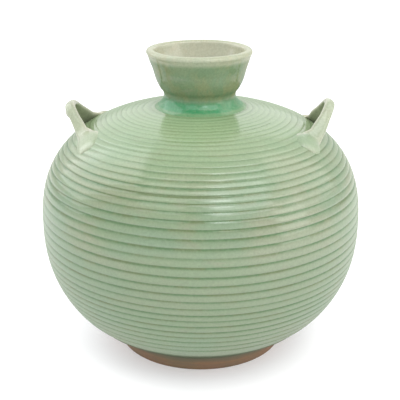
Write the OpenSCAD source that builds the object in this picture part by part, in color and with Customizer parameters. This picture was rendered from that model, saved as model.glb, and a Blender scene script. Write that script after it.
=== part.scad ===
// Hand-thrown globe vase: a ringed hollow body on a bare turned foot, a short
// flared neck with a rolled lip, and two strap loops pressed on the shoulder.
// Origin: centre of the foot's underside. +Z is up, +X goes to the right-hand loop.

/* [Globe] */
// Diameter at the widest ring
globe_d = 180; // [120:1:300]
// Height of the widest ring above the table
belly_z = 74; // [60:1:110]
// Rise from the widest ring to the top of the dome
dome_h = 66; // [54:1:100]
// Drop from the widest ring to the point where the bowl would close
bowl_h = 77; // [66:1:115]
// Fullness of the dome, where 2 is a plain ellipse
dome_full = 2.56; // [2.2:0.01:3]
// Fullness of the bowl
bowl_full = 2.19; // [2:0.01:2.6]
// Thickness of the thrown wall
wall = 5; // [3.5:0.1:7]

/* [Rings] */
// Spacing of the cut rings beside the neck, along the surface
ring_step_top = 3.1; // [2.4:0.1:5]
// Spacing of the cut rings near the foot
ring_step_low = 4.6; // [3:0.1:8]
// Width of one cut
ring_w = 1.2; // [0.6:0.1:1.8]
// Depth of one cut
ring_depth = 0.5; // [0.2:0.05:0.8]
// Height at which the rings stop above the foot
ring_end_z = 28; // [22:1:50]

/* [Foot] */
// Height of the bare foot
foot_h = 10.7; // [8:0.1:16]
// Radius of the foot where it stands
foot_r = 47; // [36:0.5:54]
// Width of the ring that the vase stands on
foot_ring_w = 8; // [5:0.5:14]
// Depth of the turned recess under the foot
foot_recess = 6; // [3:0.5:7]
// Slope of the recess wall, as its narrowing from the mouth to the top
recess_taper = 2; // [1:0.5:4]

/* [Neck] */
// Outer radius of the waist
waist_r = 19.8; // [16:0.1:26]
// Height of the waist above the dome's seat
waist_rise = 6.6; // [5:0.1:10]
// Radius of the collar where it runs out on the dome
collar_r = 27.5; // [24:0.5:34]
// Outer radius of the lip
lip_r = 28.9; // [24:0.1:40]
// Height of the neck from the dome's seat to the top of the lip
neck_h = 32.2; // [24:0.1:50]
// Thickness of the rolled lip
lip_t = 4.3; // [3:0.1:6]

/* [Handles] */
// Distance of each loop's base in from the widest ring
loop_inset = 28.5; // [22:0.5:38]
// Lean of the loops, up from level
loop_lean = 52; // [40:1:70]
// Clear length inside a loop
loop_gap_l = 32; // [24:0.5:40]
// Clear height inside a loop
loop_gap_h = 11.5; // [8:0.5:16]
// Thickness of the strap at the top of the loop
strap_t = 4.4; // [3:0.1:7]
// Width of the strap at the top of the loop
strap_w = 8; // [6:0.1:12]
// Width of the pressed pad at the strap's foot
pad_w = 16; // [12:0.5:22]
// Length that the pad spreads past the strap
pad_spread = 11; // [6:0.5:16]
// Turn of the right-hand loop about the vase's axis, away from true opposite
right_turn = -4; // [-10:0.5:10]

/* [Hidden] */

$fn = 96;
slip = 0.05;          // slip left between a pad and the glazed rings under it
stations = 240;       // steps in each quarter of the outline's arc-length table
wall_steps = 22;      // steps in each quarter of the cavity
hull_steps = 40;      // steps in each quarter of the smooth envelope
plain_steps = 8;      // steps down the plain band between the last cut and the foot
neck_steps = 24;      // steps up the neck
ribs = 30;            // sections along a loop
rib_pts = 16;         // points round a section
root = 5;             // how deep each pad is made below the skin before it is trimmed
arris = 0.8;          // broken edge on the ring that the vase stands on

globe_r = globe_d / 2;
seat_z = dome_z(collar_r);             // flat ring on the dome that the neck stands on
throat_r = waist_r - lip_t;            // inside radius of the waist
loop_r = globe_r - loop_inset;         // distance of each loop's base from the axis
pale_glaze = "#b9cdb0";
glaze = "#a9c7a4";
bare_clay = "#96704c";

// Height of the dome at radius r
function dome_z(r) = belly_z + dome_h * pow(1 - pow(r / globe_r, dome_full), 1 / dome_full);

// Radius of the skin at height z
function skin_r(z) = z > belly_z
    ? globe_r * pow(1 - pow((z - belly_z) / dome_h, dome_full), 1 / dome_full)
    : globe_r * pow(1 - pow((belly_z - z) / bowl_h, bowl_full), 1 / bowl_full);

// One point of a quarter outline: a runs from 0 on the belly to 90 on the axis
function quarter(a, r, h, full) = [r * pow(cos(a), 2 / full), h * pow(sin(a), 2 / full)];

// The outline from the collar down to the foot, grown outwards by g
function dome_side(n, g) = [
    for (i = [n - 1 : -1 : 0])
        let (p = quarter(90 * i / n, globe_r + g, dome_h + g, dome_full))
        if (p[0] > collar_r) [p[0], belly_z + p[1]]
];
function bowl_side(n, g) = [
    for (i = [1 : n - 1])
        let (p = quarter(90 * i / n, globe_r + g, bowl_h + g, bowl_full))
        if (belly_z - p[1] > foot_h) [p[0], belly_z - p[1]]
];
function outline(n, g) = concat(
    [[collar_r, dome_z(collar_r) + g]],
    dome_side(n, g),
    bowl_side(n, g),
    [[skin_r(foot_h) + g, foot_h]]
);

// Length along the outline up to each of its points
line = outline(stations, 0);
function step(i) = i + 1 < len(line) ? norm(line[i + 1] - line[i]) : 0;
run = [for (i = 0, s = 0; i < len(line); s = s + step(i), i = i + 1) s];
r_table = [for (i = [0 : len(line) - 1]) [run[i], line[i][0]]];
z_table = [for (i = [0 : len(line) - 1]) [run[i], line[i][1]]];
total = run[len(run) - 1];
function on_skin(s) = [lookup(s, r_table), lookup(s, z_table)];
function inward(s) =
    let (d = on_skin(min(s + 0.5, total)) - on_skin(max(s - 0.5, 0)))
    [d[1], -d[0]] / norm(d);

// The cuts: the first lies just outside the collar, and each step is a little longer
// than the one above it
function ring_step(s) = ring_step_top + (ring_step_low - ring_step_top) * s / total;
cuts = [for (s = 2 * ring_w; on_skin(s)[1] > ring_end_z; s = s + ring_step(s)) s];

// One cut: down, across its floor and up again
function cut_points(s) = [
    for (k = [[-0.5, 0], [-0.2, 1], [0.2, 1], [0.5, 0]])
        on_skin(s + k[0] * ring_w) + inward(s + k[0] * ring_w) * k[1] * ring_depth
];
plain_from = cuts[len(cuts) - 1] + ring_w;
function plain_points() = [
    for (i = [1 : plain_steps]) on_skin(plain_from + (total - plain_from) * i / plain_steps)
];

// Inner face of the wall, from the floor up to the throat
cavity_r = globe_r - wall;
function cavity_low() = [
    for (i = [wall_steps - 1 : -1 : 0])
        let (p = quarter(90 * i / wall_steps, cavity_r, bowl_h - wall, bowl_full))
        if (belly_z - p[1] > foot_h + wall) [p[0], belly_z - p[1]]
];
function cavity_high() = [
    for (i = [1 : wall_steps - 1])
        let (p = quarter(90 * i / wall_steps, cavity_r, dome_h - wall, dome_full))
        if (p[0] > throat_r + 1) [p[0], belly_z + p[1]]
];
floor_z = foot_h + wall;
floor_r = cavity_r * pow(1 - pow((belly_z - floor_z) / (bowl_h - wall), bowl_full), 1 / bowl_full);

module globe() {
    color(glaze)
    rotate_extrude()
    polygon(concat(
        [[0, foot_h], [0, floor_z], [floor_r, floor_z]],
        cavity_low(),
        cavity_high(),
        [[throat_r, seat_z], [collar_r, seat_z]],
        [for (s = cuts) each cut_points(s)],
        plain_points()
    ));
}

module foot_ring() {
    top_r = skin_r(foot_h);
    mouth_r = foot_r - foot_ring_w;
    color(bare_clay)
    rotate_extrude()
    polygon([
        [0, foot_recess],
        [mouth_r - recess_taper, foot_recess],
        [mouth_r, arris],
        [mouth_r + arris, 0],
        [foot_r - arris, 0],
        [foot_r, arris],
        [top_r, foot_h],
        [0, foot_h]
    ]);
}

// Outside of the neck at height h above the seat: a hollow collar, the waist, then the
// flare, which swells quickly above the waist and runs straighter up to the lip
lip_z = neck_h - lip_t / 2;
lip_c = lip_r - lip_t / 2;
tuck = 0.5;           // how far the flare tucks in under the lip
hollow = 2.4;         // how hollow the collar is, where 1 is a straight cone
function collar_x(h) = waist_r + (collar_r - waist_r) * pow(1 - h / waist_rise, hollow);
function swell(u) = 1.75 * u - 1.35 * pow(u, 2) + 0.6 * pow(u, 3);
function flare(h) = h < waist_rise ? 0 : swell((h - waist_rise) / (lip_z - waist_rise));
function neck_x(h) = h < waist_rise ? collar_x(h) : waist_r + (lip_r - tuck - waist_r) * flare(h);
// Inside of the neck: a straight throat, then the same flare
function bore_x(h) = throat_r + (lip_c - lip_t / 2 - throat_r) * flare(h);

module neck() {
    hs = [for (i = [0 : neck_steps]) lip_z * i / neck_steps];
    lip = [for (a = [0 : 15 : 180]) [lip_c + lip_t / 2 * cos(a), lip_z + lip_t / 2 * sin(a)]];
    color(glaze)
    translate([0, 0, seat_z])
    rotate_extrude()
    polygon(concat(
        [for (i = [0 : neck_steps - 1]) [neck_x(hs[i]), hs[i]]],
        lip,
        [for (i = [neck_steps - 1 : -1 : 0]) [bore_x(hs[i]), hs[i]]]
    ));
}

// A loop lies in a plane that leans out from the shoulder. In that plane p[0] runs
// round the vase and p[1] up the lean; the strap's width is square to the plane.
// Angle a runs from one pad, over the top, to the other pad.
function fall(y) = (dome_z(loop_r) - dome_z(norm([loop_r, y]))) / sin(loop_lean);
function spread(a) = pow(1 - sin(a), 3);
function edge(a, reach, height) = [reach * cos(a), height * sin(a) - fall(reach * cos(a)) * (1 - sin(a))];
function inner_edge(a) = edge(a, loop_gap_l / 2, loop_gap_h);
function outer_edge(a) =
    edge(a, loop_gap_l / 2 + strap_t + pad_spread * spread(a), loop_gap_h + strap_t);
function strap_width(a) = strap_w + (pad_w - strap_w) * spread(a);
function in_place(p, w) = [
    p[1] * cos(loop_lean) - w * sin(loop_lean),
    p[0],
    p[1] * sin(loop_lean) + w * cos(loop_lean)
];
// One section of the strap, a softened rectangle, lowered by drop
squareness = 0.8;     // 1 is round, less is squarer
function soft(v) = sign(v) * pow(abs(v), squareness);
function rib(a, drop) =
    let (q = inner_edge(a), o = outer_edge(a), w = strap_width(a) / 2)
    [
        for (k = [0 : rib_pts - 1])
            let (b = 360 * k / rib_pts)
            in_place((q + o) / 2 + (o - q) / 2 * soft(cos(b)) - [0, drop], w * soft(sin(b)))
    ];

// The globe's skin without its cuts, grown by the slip, which trims the pads
module envelope() {
    rotate_extrude()
    polygon(concat([[0, foot_h], [0, dome_z(collar_r) + slip]], outline(hull_steps, slip)));
}

module strap_loop() {
    pts = concat(
        rib(0, root),
        [for (i = [1 : ribs - 1]) each rib(180 * (i - 1) / (ribs - 2), 0)],
        rib(180, root)
    );
    last = ribs * rib_pts;
    faces = concat(
        [
            for (i = [0 : ribs - 1])
                for (k = [0 : rib_pts - 1])
                    let (n = (k + 1) % rib_pts, a = i * rib_pts)
                    each [
                        [a + k, a + n, a + rib_pts + n],
                        [a + k, a + rib_pts + n, a + rib_pts + k]
                    ]
        ],
        [for (k = [1 : rib_pts - 2]) [0, k + 1, k]],
        [for (k = [1 : rib_pts - 2]) [last, last + k, last + k + 1]]
    );
    difference() {
        translate([loop_r, 0, dome_z(loop_r)])
            polyhedron(pts, faces);
        envelope();
    }
}

module handle_left() {
    color(pale_glaze) rotate([0, 0, 180]) strap_loop();
}

module handle_right() {
    color(pale_glaze) rotate([0, 0, right_turn]) strap_loop();
}

globe();
foot_ring();
neck();
handle_left();
handle_right();
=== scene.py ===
import math

import bpy
import numpy as np
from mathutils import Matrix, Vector


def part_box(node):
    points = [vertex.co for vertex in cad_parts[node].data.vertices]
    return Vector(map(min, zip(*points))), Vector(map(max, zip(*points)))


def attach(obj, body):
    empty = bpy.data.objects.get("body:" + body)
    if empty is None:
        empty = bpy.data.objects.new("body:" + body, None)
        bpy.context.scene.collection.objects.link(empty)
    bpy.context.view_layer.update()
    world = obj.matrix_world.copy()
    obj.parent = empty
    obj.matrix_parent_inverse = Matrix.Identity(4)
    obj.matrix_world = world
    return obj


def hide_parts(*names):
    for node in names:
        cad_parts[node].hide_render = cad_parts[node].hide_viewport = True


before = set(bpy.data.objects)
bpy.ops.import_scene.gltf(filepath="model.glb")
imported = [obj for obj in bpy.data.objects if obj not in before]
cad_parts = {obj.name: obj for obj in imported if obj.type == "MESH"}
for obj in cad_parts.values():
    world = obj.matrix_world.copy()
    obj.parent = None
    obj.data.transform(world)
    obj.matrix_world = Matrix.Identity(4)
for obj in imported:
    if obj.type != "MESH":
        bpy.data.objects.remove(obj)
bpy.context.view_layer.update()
mm = 0.001

# the vase's own sizes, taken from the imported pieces
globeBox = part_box("globe")
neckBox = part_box("neck")
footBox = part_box("foot_ring")
globeRadius = globeBox[1].x
softenedFoot = 0.5 * mm            # worn off the foot's edge where it meets the belly
footHeight = footBox[1].z - softenedFoot
seatHeight = neckBox[0].z          # where the neck stands on the dome
lipTop = neckBox[1].z
lipRadius = neckBox[1].x

shoulder = {
    "belly": 74 * mm,              # height of the widest ring
    "domeRise": 66 * mm,
    "domeFull": 2.56,              # 2 is a plain ellipse, more is fuller
    "bowlDrop": 77 * mm,
    "bowlFull": 2.19,
    "collarRadius": 25.4 * mm,     # where the neck runs out on the dome
    "tuckUp": 1.2 * mm,            # how far the belly turns in above the foot
    "tuckFrom": 27 * mm,           # the height where it begins to turn in
    "tuckFull": 12 * mm,
    "wall": 5 * mm,
}


def smoothStep(low, high, x):
    t = np.clip((x - low) / (high - low), 0, 1)
    return t * t * (3 - 2 * t)


def domeHeight(r):
    share = 1 - (np.clip(r, 0, globeRadius) / globeRadius) ** shoulder["domeFull"]
    return shoulder["belly"] + shoulder["domeRise"] * share ** (1 / shoulder["domeFull"])


# the skin from the top of the dome down to the foot, and the length run along it
skinSteps = 6000
sweep = np.linspace(math.pi / 2, -math.pi / 2, skinSteps + 1)
up = np.clip(np.sin(sweep), 0, 1)
down = np.clip(-np.sin(sweep), 0, 1)
across = np.clip(np.cos(sweep), 0, 1)
skinRadius = globeRadius * np.where(
    sweep > 0, across ** (2 / shoulder["domeFull"]), across ** (2 / shoulder["bowlFull"]))
skinHeight = shoulder["belly"] + np.where(
    sweep > 0, shoulder["domeRise"] * up ** (2 / shoulder["domeFull"]),
    -shoulder["bowlDrop"] * down ** (2 / shoulder["bowlFull"]))
skinHeight = skinHeight + shoulder["tuckUp"] * smoothStep(
    shoulder["tuckFrom"], shoulder["tuckFull"], skinHeight)
skinRun = np.concatenate(
    [[0], np.cumsum(np.hypot(np.diff(skinRadius), np.diff(skinHeight)))])
skinLook = np.arctan2(skinHeight - shoulder["belly"], skinRadius)   # falls all the way


def onSkin(run):
    return np.interp(run, skinRun, skinRadius), np.interp(run, skinRun, skinHeight)


def skinRunAtHeight(z):
    return float(np.interp(-z, -skinHeight, skinRun))


joinRadius = onSkin(skinRunAtHeight(footHeight))[0]     # where belly and foot meet


def outOfSkin(run):
    # the direction straight out of the skin
    near = 0.4 * mm
    r0, z0 = onSkin(run - near)
    r1, z1 = onSkin(run + near)
    length = np.hypot(r1 - r0, z1 - z0)
    return -(z1 - z0) / length, (r1 - r0) / length


def runAt(r, z):
    # the length down the skin of the point that is seen behind (r, z) from the widest ring's centre
    look = np.arctan2(z - shoulder["belly"], r)
    return np.interp(-look, -skinLook, skinRun)


def wave(angle, seed, size, lobes=4):
    # a slow hand-made wander round the pot, the same each time for one seed
    draw = np.random.default_rng(seed)
    total = 0
    for lobe in range(1, lobes + 1):
        total = total + draw.normal() / lobe * np.sin(lobe * angle + draw.uniform(0, 2 * math.pi))
    return size * total


# ways of working a mesh

def deselectAll():
    if bpy.context.object and bpy.context.object.mode != "OBJECT":
        bpy.ops.object.mode_set(mode="OBJECT")
    bpy.ops.object.select_all(action="DESELECT")


def spinPot(name, outline, turns):
    # one point is drawn out along the outline, then the line is spun about the axis
    deselectAll()
    r, z = outline[0]
    bpy.ops.mesh.primitive_plane_add(size=mm, location=(r, 0, z))
    pot = bpy.context.object
    pot.name = name
    bpy.ops.object.transform_apply(location=True, rotation=True, scale=True)
    bpy.ops.object.mode_set(mode="EDIT")
    bpy.ops.mesh.select_all(action="SELECT")
    bpy.ops.mesh.merge(type="CENTER")
    for (r0, z0), (r1, z1) in zip(outline, outline[1:]):
        bpy.ops.mesh.extrude_vertices_move(
            TRANSFORM_OT_translate={"value": (r1 - r0, 0, z1 - z0)})
    bpy.ops.mesh.select_all(action="SELECT")
    bpy.ops.mesh.spin(steps=turns, angle=2 * math.pi, center=(0, 0, 0), axis=(0, 0, 1))
    bpy.ops.mesh.select_all(action="SELECT")
    bpy.ops.mesh.remove_doubles(threshold=0.02 * mm)
    bpy.ops.mesh.normals_make_consistent(inside=False)
    bpy.ops.object.mode_set(mode="OBJECT")
    bpy.ops.object.shade_smooth()
    return pot


def readPoints(piece):
    points = np.zeros(len(piece.data.vertices) * 3)
    piece.data.vertices.foreach_get("co", points)
    return points.reshape(-1, 3)


def writePoints(piece, points):
    piece.data.vertices.foreach_set("co", np.ascontiguousarray(points).ravel())
    piece.data.update()


def markPoints(piece, name, values):
    layer = piece.data.attributes.new(name, "FLOAT", "POINT")
    layer.data.foreach_set("value", np.clip(values, 0, 1).astype(np.float32))


def applyModifiers(piece):
    deselectAll()
    piece.select_set(True)
    bpy.context.view_layer.objects.active = piece
    for modifier in list(piece.modifiers):
        bpy.ops.object.modifier_apply(modifier=modifier.name)


def finishPiece(piece, node, material):
    piece.data.materials.clear()
    piece.data.materials.append(material)
    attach(piece, "root")
    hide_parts(node)
    print(piece.name, len(piece.data.vertices), "points")


# materials

class Wire:
    # one value in a material; sums written with it become Math nodes
    def __init__(self, bench, socket):
        self.bench, self.socket = bench, socket

    def sum(self, operation, a, b):
        return self.bench.node("ShaderNodeMath", {"operation": operation}, {0: a, 1: b})

    def __add__(self, other): return self.sum("ADD", self, other)
    def __radd__(self, other): return self.sum("ADD", other, self)
    def __sub__(self, other): return self.sum("SUBTRACT", self, other)
    def __rsub__(self, other): return self.sum("SUBTRACT", other, self)
    def __mul__(self, other): return self.sum("MULTIPLY", self, other)
    def __rmul__(self, other): return self.sum("MULTIPLY", other, self)
    def __pow__(self, other): return self.sum("POWER", self, other)


class Bench:
    # one material's node tree
    def __init__(self, name):
        self.material = bpy.data.materials.new(name)
        self.material.use_nodes = True
        self.tree = self.material.node_tree
        self.shader = self.tree.nodes["Principled BSDF"]
        self.place = self.node("ShaderNodeTexCoord", out="Object")

    def node(self, kind, settings=None, sockets=None, out=0):
        made = self.tree.nodes.new(kind)
        for key, value in (settings or {}).items():
            setattr(made, key, value)
        for key, value in (sockets or {}).items():
            self.plug(made.inputs[key], value)
        return Wire(self, made.outputs[out])

    def plug(self, socket, value):
        if isinstance(value, Wire):
            self.tree.links.new(value.socket, socket)
        elif isinstance(value, tuple) and socket.type == "RGBA":
            socket.default_value = (*value, 1)
        else:
            socket.default_value = value

    def set(self, **sockets):
        for key, value in sockets.items():
            self.plug(self.shader.inputs[key.replace("_", " ")], value)

    def mark(self, name):
        return self.node("ShaderNodeAttribute", {"attribute_name": name}, out="Fac")

    def clouds(self, size, detail=2.0, rough=0.5, stretch=(1, 1, 1), offset=(0, 0, 0)):
        # noise whose features are about size across, as a value round 0.5
        place = self.node("ShaderNodeMapping", {}, {
            "Vector": self.place, "Scale": stretch, "Location": offset}, "Vector")
        return self.node("ShaderNodeTexNoise", {"noise_dimensions": "3D"}, {
            "Vector": place, "Scale": 1 / size, "Detail": detail, "Roughness": rough}, "Fac")

    def spots(self, size):
        # how far it is to the nearest of many scattered points, in shares of size
        return self.node("ShaderNodeTexVoronoi", {"feature": "F1"}, {
            "Vector": self.place, "Scale": 1 / size, "Randomness": 1.0}, "Distance")

    def between(self, value, low, high):
        # 0 below low and 1 above high, with soft ends
        return self.node("ShaderNodeMapRange", {"interpolation_type": "SMOOTHSTEP"}, {
            "Value": value, "From Min": low, "From Max": high}, "Result")

    def mix(self, share, a, b, kind="MIX"):
        return self.node("ShaderNodeMix", {
            "data_type": "RGBA", "blend_type": kind, "clamp_factor": True}, {
                0: share, 6: a, 7: b}, 2)

    def bump(self, height, depth):
        return self.node("ShaderNodeBump", {}, {
            "Height": height, "Distance": depth, "Strength": 1.0}, "Normal")


celadon = {
    "sage": (0.182, 0.246, 0.138),        # the lands between the rings
    "beige": (0.214, 0.248, 0.149),
    "rose": (0.230, 0.230, 0.156),
    "mist": (0.170, 0.250, 0.155),
    "emerald": (0.070, 0.142, 0.052),     # thick glaze in the rings
    "olive": (0.090, 0.134, 0.046),
    "pinhole": (0.110, 0.150, 0.080),
    "leaf": (0.226, 0.322, 0.172),        # clearer glaze on the shoulder
    "cream": (0.484, 0.478, 0.364),       # thin glaze on the lip and the straps
    "toast": (0.430, 0.310, 0.200),
    "burntAndShade": (0.085, 0.098, 0.062),       # the glaze's dark lower end, dark glaze with painted shade where the belly meets the foot
    "neckOlive": (0.182, 0.214, 0.104),
    "neckMoss": (0.138, 0.204, 0.102),
    "poolAndShade": (0.040, 0.205, 0.082),        # glaze run together round the collar, laid deepest on its front as painted shade
    # painted shade for the lower belly
    "shade": (0.158, 0.228, 0.130),
    # painted light, a paler tone for the belly's right side
    "paintedLightTint": (0.246, 0.272, 0.186),
    "clay": (0.190, 0.122, 0.066),
}
stoneware = {
    "fawn": (0.186, 0.124, 0.064),
    "russet": (0.228, 0.122, 0.062),
    "scraped": (0.130, 0.100, 0.072),
    "speck": (0.10, 0.065, 0.045),
}
glazing = {
    # size of what varies, and how strongly it shows
    "blushSize": 13 * mm, "blush": 0.5,
    "coolSize": 48 * mm, "cool": 0.7,
    "lowerShade": 0.55,
    "raggedSize": 3.5 * mm, "nibbleSize": 1.4 * mm,
    "rustSize": 5 * mm, "rust": 0.15,
    "pinholeSpacing": 5.2 * mm, "pinhole": 0.35,
    "grainSize": 1.1 * mm, "grain": 0.24,
    "swellSize": 6 * mm, "peelSize": 1.6 * mm, "peelDepth": 0.06 * mm,
}
gloss = {
    "softEdge": 0.75,              # how much of the gloss goes at a grazing look
    "roughness": 0.13,
    "dullOnDarkEnd": 0.85,             # how dull the darkened glaze end is, dark glaze with painted shade
    "index": 1.6,
}


def glazeColour(bench, thinnest, deepest):
    # thinnest and deepest are the two colours the glaze runs between, from a land to a pool; on the
    # handles the deepest is painted shade
    c, g = celadon, glazing
    poolAndShade, seep, thin = bench.mark("poolAndShade"), bench.mark("seep"), bench.mark("thin")
    blush = bench.clouds(g["blushSize"], 3.0, 0.6, (1, 1, 2.6), (0.3, 0.1, 0.7))
    cool = bench.clouds(g["coolSize"], 2.0, 0.5, (1, 1, 1.4), (0.9, 0.4, 0.2))
    land = bench.mix(bench.between(blush, 0.56, 0.74) * g["blush"], thinnest, c["rose"])
    land = bench.mix(bench.between(cool, 0.50, 0.68) * g["cool"], land, c["mist"])
    # painted shade: the glaze is darkened towards the bottom of the belly
    land = bench.mix(bench.mark("paintedLowShade") * g["lowerShade"], land, c["shade"])
    glaze = bench.mix(seep, land, c["leaf"])
    ragged = bench.clouds(g["raggedSize"], 3.0, 0.65, (1, 1, 2.5))
    nibbled = bench.clouds(g["nibbleSize"], 2.0, 0.6)
    glaze = bench.mix(poolAndShade * (0.30 + 0.8 * ragged + 0.6 * nibbled), glaze, deepest)
    glaze = bench.mix(thin, glaze, c["cream"])
    rust = bench.clouds(g["rustSize"], 2.0, 0.5, (1, 1, 1), (0.2, 0.8, 0.5))
    glaze = bench.mix(thin * bench.between(rust, 0.56, 0.70) * g["rust"], glaze, c["toast"])
    pin = 1.0 - bench.between(bench.spots(g["pinholeSpacing"]), 0.03, 0.07)
    glaze = bench.mix(pin * g["pinhole"], glaze, c["pinhole"])
    # the glaze's dark lower end: thick dark glaze with painted shade where the belly turns in over the
    # foot
    glaze = bench.mix(bench.mark("burnAndShade") * (0.65 + 0.5 * ragged), glaze, c["burntAndShade"])
    glaze = bench.mix(bench.mark("bare"), glaze, c["clay"])
    grain = bench.clouds(g["grainSize"], 3.0, 0.65)
    mottle = bench.node("ShaderNodeCombineColor", {}, {0: grain, 1: grain, 2: grain}, "Color")
    return bench.mix(g["grain"], glaze, mottle, "OVERLAY")


def glazeBump(bench):
    # the faint orange peel of a fired glaze, and the clay's grain under it
    swell = bench.clouds(glazing["swellSize"], 1.0, 0.4)
    peel = bench.clouds(glazing["peelSize"], 2.0, 0.5)
    return bench.bump(swell * 0.7 + peel * 0.3, glazing["peelDepth"])


def finishGlaze(bench, colour, shine=1.0):
    # the gloss grows towards a grazing look but never turns the rim of the pot white
    facing = bench.node("ShaderNodeLayerWeight", {}, {"Blend": 0.5}, "Facing")
    coat = shine - shine * gloss["softEdge"] * facing ** 3.0
    # the gloss is dulled on that darkened end
    coat = coat * (1.0 - gloss["dullOnDarkEnd"] * bench.mark("burnAndShade"))
    bench.set(Base_Color=colour, Roughness=0.55, Normal=glazeBump(bench), Coat_Weight=coat)
    bench.set(Specular_IOR_Level=0.0, Coat_IOR=gloss["index"], Coat_Roughness=gloss["roughness"])
    return bench.material


def makeBodyGlaze():
    bench = Bench("celadonBody")
    c = celadon
    patches = bench.clouds(34 * mm, 3.0, 0.55, (1, 1, 2.2))
    land = bench.mix(bench.between(patches, 0.40, 0.64), c["sage"], c["beige"])
    # painted light: the belly's right side, towards positive x, is made paler where brighter light
    # falls
    side = bench.node("ShaderNodeSeparateXYZ", {}, {"Vector": bench.place}, "X")
    litSide = bench.between(side, 5 * mm, 36 * mm) * (1.0 - bench.between(side, 60 * mm, 84 * mm))
    land = bench.mix(litSide * 0.6, land, c["paintedLightTint"])
    streak = bench.clouds(13 * mm, 3.0, 0.6, (1, 1, 2.6), (0.3, 0.1, 0.7))
    deep = bench.mix(bench.between(streak, 0.45, 0.60), c["emerald"], c["olive"])
    return finishGlaze(bench, glazeColour(bench, land, deep))


def makeNeckGlaze():
    bench = Bench("celadonNeck")
    c = celadon
    drips = bench.clouds(5 * mm, 3.0, 0.6, (1, 1, 0.35))
    land = bench.mix(bench.between(drips, 0.40, 0.62), c["neckMoss"], c["neckOlive"])
    return finishGlaze(bench, glazeColour(bench, land, c["poolAndShade"]), shine=0.7)


def makeHandleGlaze():
    bench = Bench("celadonHandle")
    c = celadon
    land = bench.mix(0.36, c["sage"], c["cream"])
    # the deep colour here is painted shade on the strap's face towards the skin
    return finishGlaze(bench, glazeColour(bench, land, c["neckOlive"]))


def makeBareClay():
    bench = Bench("bareStoneware")
    warm = bench.clouds(22 * mm, 3.0, 0.6)
    fine = bench.clouds(0.7 * mm, 2.0, 0.7)
    turned = bench.clouds(1.1 * mm, 2.0, 0.6, (0.06, 0.06, 1))      # long marks round the foot
    clay = bench.mix(bench.between(warm, 0.35, 0.65), stoneware["fawn"], stoneware["russet"])
    clay = bench.mix(bench.between(turned, 0.40, 0.70) * 0.45, clay, stoneware["scraped"])
    clay = bench.mix(bench.between(fine, 0.58, 0.75) * 0.35, clay, stoneware["speck"])
    # the top of the foot is darkened: dark glaze run over its edge, with painted shade under the belly
    clay = bench.mix(bench.mark("burnAndShade") * 0.8, clay, celadon["burntAndShade"])
    bench.set(
        Base_Color=clay, Roughness=0.78 + fine * 0.15,
        Normal=bench.bump(turned * 0.6 + fine * 0.4, 0.25 * mm))
    return bench.material


# the globe: thrown hollow body with hand-cut rings

globe = {
    "turns": 256,
    "rings": 40,
    "firstRing": 21.74 * mm,       # length down the skin from the top of the dome
    "ringStep": 3.21 * mm,
    "stepGrowth": 0.022 * mm,      # each step is a little longer than the last
    "sway": ((1.408 * mm, 23.5, 27.3), (0.815 * mm, 14, 47.6)),   # size, rings, degrees
    "depth": 0.27 * mm,
    "wander": 0.16 * mm,
    "topTilt": 1.5 * mm,           # the rings near the neck sit askew, high on the right
    "clearOfNeck": 0.8 * mm,
    "glazeEnd": 18.2 * mm,         # the glaze stops this high, in a thick dark edge, its darkness partly painted shade
    "bead": 0.30 * mm,             # how far that edge stands out
    "beadWide": 0.7 * mm,
    "darkenFrom": 4.5 * mm,          # the edge begins to darken this far above its end, dark glaze with painted shade
    "darkenFull": 1.0 * mm,
    "bareFrom": 1.2 * mm,          # clay shows this far above the foot
    "overFoot": 0.3 * mm,
    "cavitySteps": 16,
    "cavityLip": 17 * mm,          # the hollow closes in to this radius under the throat
}
# a cut is steep on its upper side and runs out slowly below: place, depth
cutShape = (
    (-0.35, 0.0), (-0.10, 0.75), (0.12, 1.0), (0.50, 0.88), (0.95, 0.55), (1.55, 0.25), (2.25, 0.07))


def ringForce(run):
    # faint near the neck, full from the upper belly down
    return 0.40 + 0.85 * smoothStep(55 * mm, 95 * mm, run)


def ringRun(k):
    run = globe["firstRing"] + globe["ringStep"] * k + globe["stepGrowth"] * k * k
    for size, rings, degrees in globe["sway"]:
        run += size * math.sin(2 * math.pi * k / rings + math.radians(degrees))
    return run


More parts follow.
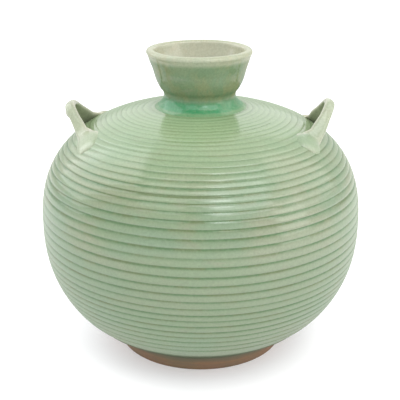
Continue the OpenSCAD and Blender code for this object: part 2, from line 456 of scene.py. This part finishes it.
def makeGlobe(material):
    collarRun = float(runAt(shoulder["collarRadius"], domeHeight(shoulder["collarRadius"])))
    endRun = skinRunAtHeight(footHeight + globe["overFoot"])
    rings = [ringRun(k) for k in range(globe["rings"])]
    rings = [s for s in rings if s > collarRun + globe["clearOfNeck"]]
    stops = [(collarRun, 0.0, 0)]                     # run, depth, ring
    for k, centre in enumerate(rings):
        stops += [(centre + place * mm, depth, k) for place, depth in cutShape]
        if k + 1 < len(rings):
            a = centre + cutShape[-1][0] * mm
            b = rings[k + 1] + cutShape[0][0] * mm
            stops.append(((a + b) / 2, 0.0, k))
    last = len(rings) - 1
    glazeRun = skinRunAtHeight(globe["glazeEnd"])
    plain = glazeRun - 3 * mm - stops[-1][0]          # the smooth skin below the last ring
    tail = [stops[-1][0] + plain * share for share in (0.25, 0.5, 0.75, 1)]
    tail += [glazeRun - back * mm for back in (2.2, 1.5, 0.9, 0.45, 0.15, -0.15, -0.5)]
    tail += [glazeRun + (endRun - glazeRun) * share for share in (0.25, 0.4, 0.55, 0.7, 0.85, 1)]
    stops += [(run, 0.0, last) for run in tail]

    wall = shoulder["wall"]
    floorHeight = footHeight + wall
    inner = []
    for i in range(globe["cavitySteps"] + 1):
        turn = -math.pi / 2 + math.pi * i / globe["cavitySteps"]
        full = shoulder["domeFull"] if turn > 0 else shoulder["bowlFull"]
        rise = shoulder["domeRise"] if turn > 0 else -shoulder["bowlDrop"]
        r = (globeRadius - wall) * max(math.cos(turn), 0) ** (2 / full)
        z = shoulder["belly"] + (rise - math.copysign(wall, rise)) * abs(math.sin(turn)) ** (2 / full)
        if z > floorHeight + 2 * mm and (turn < 0 or r > globe["cavityLip"]):
            inner.append((r, z))
    outline = [(0, floorHeight), (0.6 * inner[0][0], floorHeight), (inner[0][0] - 4 * mm, floorHeight)]
    outline += inner + [(neck["throat"], seatHeight - 0.3 * mm)]
    outline += [tuple(float(v) for v in onSkin(s[0])) for s in stops]
    outline += [(joinRadius - 0.1 * mm, footHeight), (0, footHeight)]
    pot = spinPot("globe_thrown", outline, globe["turns"])

    points = readPoints(pot)
    r, z = np.hypot(points[:, 0], points[:, 1]), points[:, 2]
    angle = np.arctan2(points[:, 1], points[:, 0])
    run = runAt(r, z)
    skinR, skinZ = onSkin(run)
    outer = (np.hypot(r - skinR, z - skinZ) < 0.1 * mm) & (r > neck["throat"] + 2 * mm)
    stopRun = np.array([s[0] for s in stops])
    index = np.searchsorted((stopRun[1:] + stopRun[:-1]) / 2, run)
    depth, ring = (np.array([s[i] for s in stops])[index] for i in (1, 2))
    shift, force = np.zeros(len(run)), np.ones(len(run))
    for k, centre in enumerate(rings):
        own = ring == k
        shift = np.where(own, wave(angle, 100 + k, globe["wander"] * 0.7), shift)
        fade = np.clip(0.95 + wave(angle, 300 + k, 0.16, 5), 0.25, 1.2) * ringForce(centre)
        force = np.where(own, fade * np.random.default_rng(500 + k).uniform(0.78, 1.12), force)
    shift += wave(angle, 7, globe["wander"]) * np.sin(run / (40 * mm)) + wave(angle, 8, globe["wander"])
    shift -= globe["topTilt"] * np.cos(angle) * (1 - smoothStep(36 * mm, 70 * mm, run))
    belowCollar = smoothStep(collarRun, collarRun + 2.5 * mm, run)
    ends = belowCollar * smoothStep(glazeRun - 2 * mm, glazeRun - 10 * mm, run)
    beadWide = globe["beadWide"]
    bead = np.exp(-((run - glazeRun + beadWide) / beadWide) ** 2) * (run < glazeRun)
    sag = wave(angle, 31, 0.25 * mm) * smoothStep(glazeRun - 3 * mm, glazeRun - 1 * mm, run)
    sag = sag * smoothStep(endRun, endRun - 1 * mm, run)
    run = run + shift * ends + sag
    newR, newZ = onSkin(run)
    outR, outZ = outOfSkin(run)
    out = -depth ** 1.5 * force * globe["depth"] + bead * globe["bead"]
    out = out + wave(angle, 21, 0.10 * mm, 5) * np.sin(run / (17 * mm)) * ends
    scale = np.where(outer, (newR + outR * out) / np.maximum(r, mm), 1)
    points[:, 0] *= scale
    points[:, 1] *= scale
    points[:, 2] = np.where(outer, newZ + outZ * out, points[:, 2])
    writePoints(pot, points)

    collar = 1 - smoothStep(collarRun, collarRun + 2.5 * mm, run)
    crisp = depth ** (1 + 0.7 * smoothStep(112 * mm, 130 * mm, run))
    markPoints(pot, "poolAndShade", np.where(outer, crisp * force + collar * 0.35, 0.1))
    markPoints(pot, "seep", np.where(outer, 0.85 * (1 - smoothStep(30 * mm, 105 * mm, run)), 0))
    # the glaze darkens towards its end: thick dark glaze with painted shade at the joint with the foot
    burnAndShade = smoothStep(glazeRun - globe["darkenFrom"], glazeRun - globe["darkenFull"], run)
    markPoints(pot, "burnAndShade", np.where(outer, burnAndShade, 0))
    bareRun = endRun - globe["bareFrom"] + wave(angle, 44, globe["bareFrom"], 5)
    markPoints(pot, "bare", np.where(outer, smoothStep(bareRun - 0.6 * mm, bareRun + 0.6 * mm, run), 0))
    # painted shade on the lower belly, growing towards the foot
    markPoints(pot, "paintedLowShade", np.where(outer, smoothStep(108 * mm, 140 * mm, run), 0))
    finishPiece(pot, "globe", material)


# the neck: thrown collar, waist and flared mouth with a rolled lip

neck = {
    "turns": 192,
    "lipHigh": 1.8 * mm,           # half sizes of the rolled lip
    "lipWide": 2.35 * mm,
    "throat": 15.5 * mm,
    "leanWaist": -0.4 * mm,        # the neck sits a little left of the axis
    "leanLip": -0.8 * mm,
    "wall": 1.4 * mm,              # deeper in than this is taken as the inside
    "poolFull": 4.6 * mm,          # the pooled glaze thins out between these heights
    "poolEnd": 8.6 * mm,
    "waist": 6.6 * mm,
}
# the outside, from the collar's edge up to the lip: height above the seat, radius
neckOutside = (
    (0.2, 25.4), (0.9, 24.3), (2.1, 22.9), (3.4, 21.5), (5.2, 20.25), (7.0, 19.8), (9.2, 20.3),
    (11.6, 22.1), (16.0, 24.1), (21.5, 25.6), (25.6, 27.1), (28.2, 28.0))
neckInside = (
    (29.4, 24.15), (26.0, 23.3), (20.0, 21.2), (14.0, 18.9), (9.5, 16.2), (6.5, 15.5), (0.0, 15.5))


def throughPoints(points, steps):
    # a smooth curve through the points, as a Catmull-Rom spline
    points = [np.array(p, float) for p in points]
    points = [2 * points[0] - points[1]] + points + [2 * points[-1] - points[-2]]
    curve = []
    for a, b, c, d in zip(points, points[1:], points[2:], points[3:]):
        for i in range(steps):
            t = i / steps
            curve.append(0.5 * (2 * b + (c - a) * t + (2 * a - 5 * b + 4 * c - d) * t * t
                                + (3 * b - a - 3 * c + d) * t ** 3))
    return curve + [points[-2]]


def makeNeck(material):
    lipHeight = lipTop - neck["lipHigh"]
    lipCentre = lipRadius - neck["lipWide"]
    outside = [(r * mm, seatHeight + h * mm) for h, r in throughPoints(neckOutside, 5)]
    roll = [(lipCentre + neck["lipWide"] * math.cos(math.radians(a)),
             lipHeight + neck["lipHigh"] * math.sin(math.radians(a))) for a in range(-36, 170, 12)]
    inside = [(r * mm, seatHeight + h * mm) for h, r in throughPoints(neckInside, 4)]
    pot = spinPot("neck_thrown", outside + roll + inside + [outside[0]], neck["turns"])
    points = readPoints(pot)
    angle = np.arctan2(points[:, 1], points[:, 0])
    radius = np.hypot(points[:, 0], points[:, 1])
    high = points[:, 2] - seatHeight
    height = high / (lipTop - seatHeight)
    stand = smoothStep(0.0, 0.16, height)
    swell = 1 + (wave(angle, 41, 0.006) + wave(angle + 3 * height, 42, 0.004)) * stand
    points[:, 0] *= swell
    points[:, 1] *= swell
    points[:, 0] += stand * (neck["leanWaist"] + (neck["leanLip"] - neck["leanWaist"]) * height)
    points[:, 2] += wave(angle, 43, 0.12 * mm) * smoothStep(0.5, 1.0, height)
    writePoints(pot, points)
    lip = smoothStep(26.0 * mm, 28.8 * mm, high)
    ledge = np.interp(high, [h * mm for h, _ in neckOutside], [q * mm for _, q in neckOutside])
    rim = 28.6 * mm                                       # from here up the lip rolls inwards
    within = radius < np.where(high < rim, ledge - neck["wall"], 25.4 * mm)
    within &= height < 0.985
    pooled = 0.5 + 0.5 * smoothStep(1.0 * mm, 2.0 * mm, high)
    pooled = pooled * (1 - smoothStep(neck["poolFull"], neck["poolEnd"], high))
    # painted shade: the collar's pool is laid deepest on the front (negative y) and thinnest behind
    front = 0.62 - 0.38 * np.sin(angle) + wave(angle * 2, 45, 0.22, 5)
    waist = np.exp(-((high - neck["waist"]) / (0.9 * mm)) ** 2)
    markPoints(pot, "poolAndShade", np.where(within, 0.0, pooled * np.clip(front, 0.1, 1.0)))
    markPoints(pot, "seep", np.where(within, 0.0, 0.7 * (1 - smoothStep(2 * mm, 5 * mm, high))))
    markPoints(pot, "thin", np.where(within, 0.74, lip * 0.48))
    # a faint darkening in a thin line along the waist
    markPoints(pot, "burnAndShade", np.where(within, 0.0, waist * 0.12))
    finishPiece(pot, "neck", material)


# the handles: pulled straps bent into loops, their ends pressed out as pads

handle = {
    "lean": math.radians(56.6),
    "corners": 28,                 # points round the strap
    "steps": 100,                  # sections along it
    "padFrom": 0.62,               # share of the half length where the pad begins
    "frontEnd": 34.5 * mm,
    "sunk": 0.5 * mm,
    "tuck": 1.3 * mm,              # how far a pad's edges are smoothed down into the skin
}
handleLeft = {
    "node": "handle_left",
    "bearing": 180,                # degrees round the vase
    "seat": globeRadius - 25.7 * mm,
    "loopRise": 14.3 * mm,
    "farEnd": 36 * mm,
    "slim": 0.2 * mm,              # taken off the outer edge of the leg in front
    "farSpread": 5.5 * mm,         # the leg behind is broader
    "farPad": 1.0,
    "seed": 71,
}
handleRight = {
    "node": "handle_right",
    "bearing": -4,
    "seat": globeRadius - 27.8 * mm,
    "loopRise": 15.6 * mm,
    "farEnd": 24 * mm,
    "slim": -1.2 * mm,
    "farSpread": 3.0 * mm,
    "farPad": 0.5,
    "seed": 81,
}
# from the top of the loop down a leg: reach round the vase, share of the loop's height
frontLeg = ((0.0, 1.0), (10.5, 1.04), (14.5, 0.24), (21.5, 0.02))
backLeg = ((0.0, 1.0), (8.0, 1.02), (8.5, 0.16), (18.5, 0.02))
# from the top of the loop to the pad's tip: outer edge, edge towards the neck, half thickness
strapSizes = (
    (0.0, -2.9, 2.9, 2.1), (0.30, -2.8, 2.9, 2.1), (0.52, -3.3, 3.9, 2.0),
    (0.62, -4.2, 7.6, 1.7), (0.68, -4.9, 10.4, 1.5), (0.76, -5.8, 10.4, 1.4),
    (0.88, -6.4, 9.0, 1.3), (0.97, -6.0, 7.2, 1.1), (1.0, -4.6, 5.0, 0.4))


def legPoint(curve, rise, t):
    a, b, c, d = (np.array((reach * mm, share * rise)) for reach, share in curve)
    t = np.asarray(t)[:, None]
    return a * (1 - t) ** 3 + 3 * b * t * (1 - t) ** 2 + 3 * c * t * t * (1 - t) + d * t ** 3


def makeHandle(own, material):
    corners, steps, lean = handle["corners"], handle["steps"], handle["lean"]
    bearing, seat = math.radians(own["bearing"]), own["seat"]
    loopRise, seed = own["loopRise"], own["seed"]
    deselectAll()
    bpy.ops.mesh.primitive_circle_add(vertices=corners, radius=mm, fill_type="NGON")
    strap = bpy.context.object
    strap.name = own["node"] + "_pulled"
    bpy.ops.object.mode_set(mode="EDIT")
    bpy.ops.mesh.select_all(action="SELECT")
    for _ in range(steps):
        bpy.ops.mesh.extrude_region_move(TRANSFORM_OT_translate={"value": (0, 0, mm)})
    bpy.ops.mesh.select_all(action="SELECT")
    bpy.ops.mesh.normals_make_consistent(inside=False)
    bpy.ops.object.mode_set(mode="OBJECT")
    raw = readPoints(strap)
    station = np.rint(raw[:, 2] / mm) / steps * 2 - 1      # -1 and 1 at the two tips
    around = np.arctan2(raw[:, 1], raw[:, 0])
    u = np.abs(station)                                     # 0 at the loop's top, 1 at a tip
    way = np.sign(station)                                  # which of the two legs
    sizes = np.array(strapSizes)
    outerEdge, neckEdge, thick = (np.interp(u, sizes[:, 0], sizes[:, i]) * mm for i in (1, 2, 3))
    nearLeg = way * math.cos(bearing) < 0                   # the leg on the vase's front side
    spread = smoothStep(0.05, 0.30, u) * (1 - smoothStep(0.60, 0.75, u))
    outerEdge = outerEdge - own["farSpread"] * spread * ~nearLeg
    trimmed = smoothStep(0.12, 0.50, u) * (1 - smoothStep(0.85, 1.0, u))
    outerEdge = outerEdge + own["slim"] * trimmed * nearLeg
    neckEdge = neckEdge * np.where(nearLeg, 1, 1 + (own["farPad"] - 1) * smoothStep(0.4, 0.6, u))
    legShare = np.clip(u / handle["padFrom"], 0, 1)
    front = (way < 0)[:, None]

    def alongLeg(t):
        return np.where(front, legPoint(frontLeg, loopRise, t), legPoint(backLeg, loopRise, t))

    leg = alongLeg(legShare)
    ahead = alongLeg(np.clip(legShare + 0.01, 0, 1)) - alongLeg(np.clip(legShare - 0.01, 0, 1))
    padShare = np.clip((u - handle["padFrom"]) / (1 - handle["padFrom"]), 0, 1)
    padEnd = np.where(way < 0, handle["frontEnd"], own["farEnd"])
    reach = leg[:, 0] + (padEnd - leg[:, 0]) * padShare
    rise = leg[:, 1] * (1 - padShare) - handle["sunk"] * padShare
    onPad = padShare > 0
    ahead[:, 0], ahead[:, 1] = np.where(onPad, 1, ahead[:, 0]), np.where(onPad, 0, ahead[:, 1])
    ahead /= np.hypot(ahead[:, 0], ahead[:, 1])[:, None]
    square = 0.8 + 0.2 * smoothStep(0.45, 0.65, u)          # the leg is boxy, the pad is a lens
    wide, high = np.cos(around), np.sin(around)
    wide, high = np.sign(wide) * np.abs(wide) ** square, np.sign(high) * np.abs(high) ** square
    side = (outerEdge + neckEdge) / 2 + wide * (neckEdge - outerEdge) / 2      # towards the neck
    out = high * thick - handle["tuck"] * wide ** 4 * smoothStep(0.50, 0.66, u)   # off the skin
    side = side + wave(station * 3.2, seed, 0.16 * mm, 5)
    out = out + wave(station * 4.1 + 1, seed + 1, 0.10 * mm, 5)

    def fall(y):
        return (domeHeight(seat) - domeHeight(np.hypot(seat, y))) / math.sin(lean)

    def inPlace(reachNow, riseNow, sideNow):
        x = seat + riseNow * math.cos(lean) - sideNow * math.sin(lean)
        z = domeHeight(seat) + riseNow * math.sin(lean) + sideNow * math.cos(lean)
        return x, way * reachNow, z

    # the leg keeps to the loop's own plane, the pad is pressed on the skin
    x, y, z = inPlace(
        reach - out * ahead[:, 1], rise + out * ahead[:, 0] - fall(reach) * legShare ** 2, side)
    px, py, _ = inPlace(reach, -fall(reach), side)
    pr = np.hypot(px, py)
    outR, outZ = outOfSkin(runAt(pr, domeHeight(pr)))
    lift = rise + out
    grow = 1 + outR * lift / pr
    px, py, pz = px * grow, py * grow, domeHeight(pr) + outZ * lift
    press = smoothStep(0.46, 0.66, u)
    x, y, z = x + (px - x) * press, y + (py - y) * press, z + (pz - z) * press
    cos, sin = math.cos(bearing), math.sin(bearing)
    writePoints(strap, np.stack([x * cos - y * sin, x * sin + y * cos, z], 1))
    ridge = np.exp(-((u - 0.60) / 0.10) ** 2) * smoothStep(0.2, 0.9, np.cos(around))
    edges = np.abs(np.cos(around)) ** 6 * 0.6 * (1 - padShare)
    markPoints(strap, "thin", edges + 0.06 + ridge * 0.45 - 0.25 * padShare)
    # painted shade: the strap's face towards the skin is darkened
    markPoints(strap, "poolAndShade", (np.sin(around) < -0.5) * 0.45 * smoothStep(0.75, 0.2, u))
    markPoints(strap, "seep", smoothStep(0.6, 0.8, u) * (1 - smoothStep(0.9, 1.0, u)) * 0.3)
    rounder = strap.modifiers.new("rounder", "SUBSURF")
    rounder.levels = rounder.render_levels = 1
    applyModifiers(strap)
    bpy.ops.object.shade_smooth()
    finishPiece(strap, own["node"], material)


# the foot: turned and left bare

foot = {
    "turns": 160,
    "restRadius": 48 * mm,
    "ringWidth": 8 * mm,
    "recess": 6 * mm,
    "taper": 2 * mm,               # the recess narrows this much on its way up
    "arris": 0.8 * mm,             # the softened edges
    "sideSteps": 14,
    "swell": 0.35 * mm,
    "darkenDown": 5.0 * mm,          # how far below its top the clay is darkened, dark glaze run over it with painted shade under the belly
}


def makeFoot(material):
    base = foot["restRadius"]
    top = joinRadius - 0.2 * mm
    mouth = base - foot["ringWidth"]
    a = foot["arris"]
    outline = [
        (0, foot["recess"]), (0.5 * mouth, foot["recess"]), (mouth - foot["taper"] - a, foot["recess"]),
        (mouth - foot["taper"], foot["recess"] - a), (mouth - 0.3 * mm, a), (mouth + 0.4 * a, 0.25 * a),
        (mouth + a, 0), (base - a, 0), (base - 0.3 * a, 0.25 * a), (base, a)]
    for i in range(1, foot["sideSteps"] + 1):
        share = i / foot["sideSteps"]
        outline.append((base + (top - base) * share + foot["swell"] * math.sin(math.pi * share),
                        a + (footHeight - a) * share))
    outline.append((0, footHeight))
    pot = spinPot("foot_turned", outline, foot["turns"])
    points = readPoints(pot)
    angle = np.arctan2(points[:, 1], points[:, 0])
    r = np.hypot(points[:, 0], points[:, 1])
    side = (r > base - 0.1 * mm) & (points[:, 2] < footHeight - 0.1 * mm)
    scrape = 1 + np.where(side, wave(angle + points[:, 2] * 260, 61, 0.0016, 6), 0)
    points[:, 0] *= scrape
    points[:, 1] *= scrape
    writePoints(pot, points)
    high = points[:, 2]
    # dark glaze over the foot's top edge, with painted shade under the belly's overhang
    markPoints(pot, "burnAndShade", smoothStep(footHeight - foot["darkenDown"], footHeight - 0.2 * mm, high))
    finishPiece(pot, "foot_ring", material)


# studio

studio = {
    "sky": (0.99, 0.985, 1.02),
    "skyStrength": 1.08,
    "floorSize": 8,
    "floor": (0.71, 0.71, 0.71),
    "floorGlow": (0.97, 0.98, 1.0),
    "floorGlowStrength": 0.325,
    # name, place, size, watts, colour
    "softboxes": (
        ("panelBack", (-0.27, 1.10, 0.75), (1.9, 0.9), 4.2, (1.0, 0.97, 1.0)),
        ("panelLeft", (-0.80, 0.30, 0.74), (0.8, 1.1), 5.0, (0.96, 0.98, 1.0)),
        ("panelRight", (0.86, 0.10, 0.76), (0.8, 1.0), 2.8, (1.0, 0.98, 0.95)),
        ("softboxTop", (0.42, -0.60, 1.05), (0.9, 0.8), 5.2, (1.0, 0.98, 1.0)),
        ("softboxLeft", (-0.40, -0.60, 1.00), (0.6, 0.6), 1.5, (1.0, 0.98, 1.0)),
        ("softboxRight", (1.1, -0.50, 0.40), (0.5, 0.6), 1.9, (1.0, 0.98, 0.93)),
        ("windowFront", (0.30, -0.88, 1.16), (0.30, 0.30), 1.0, (0.94, 0.98, 1.0)),
    ),
}


def makeFloor():
    deselectAll()
    bpy.ops.mesh.primitive_plane_add(size=studio["floorSize"], location=(0, 0, 0))
    floor = bpy.context.object
    floor.name = "studioFloor"
    bench = Bench("paleFloor")
    bench.set(Base_Color=studio["floor"], Roughness=0.9)
    bench.set(Emission_Color=studio["floorGlow"], Emission_Strength=studio["floorGlowStrength"])
    floor.data.materials.append(bench.material)


def addSoftbox(name, place, size, watts, colour, aim=(0, 0, 0.09)):
    light = bpy.data.lights.new(name, "AREA")
    light.shape = "RECTANGLE"
    light.size, light.size_y = size
    light.energy = watts
    light.color = colour
    box = bpy.data.objects.new(name, light)
    bpy.context.scene.collection.objects.link(box)
    box.location = place
    box.rotation_euler = (Vector(aim) - Vector(place)).to_track_quat("-Z", "Y").to_euler()


def makeStudio():
    scene = bpy.context.scene
    scene.view_settings.view_transform = "Standard"
    scene.world = bpy.data.worlds.new("studioRoom")
    scene.world.use_nodes = True
    background = scene.world.node_tree.nodes["Background"]
    background.inputs["Color"].default_value = (*studio["sky"], 1)
    background.inputs["Strength"].default_value = studio["skyStrength"]
    for softbox in studio["softboxes"]:
        addSoftbox(*softbox)


camera = {
    "place": (-0.35 * mm, -467.9 * mm, 255.7 * mm),
    "pitch": 20.23,                # degrees down from level
    "lens": 77.9,                  # on a sensor 36 wide
    "sensor": 36,
}


def makeCamera():
    data = bpy.data.cameras.new("viewCamera")
    data.lens = camera["lens"]
    data.sensor_width = camera["sensor"]
    data.clip_start = 0.01
    view = bpy.data.objects.new("viewCamera", data)
    bpy.context.scene.collection.objects.link(view)
    view.location = camera["place"]
    view.rotation_euler = (math.radians(90 - camera["pitch"]), 0, 0)
    bpy.context.scene.camera = view


makeCamera()
makeStudio()
makeFloor()
print("studio ready")
bodyGlaze = makeBodyGlaze()
neckGlaze = makeNeckGlaze()
handleGlaze = makeHandleGlaze()
bareClay = makeBareClay()
print("materials ready")
makeGlobe(bodyGlaze)
makeNeck(neckGlaze)
makeHandle(handleLeft, handleGlaze)
makeHandle(handleRight, handleGlaze)
makeFoot(bareClay)
print("pieces ready")
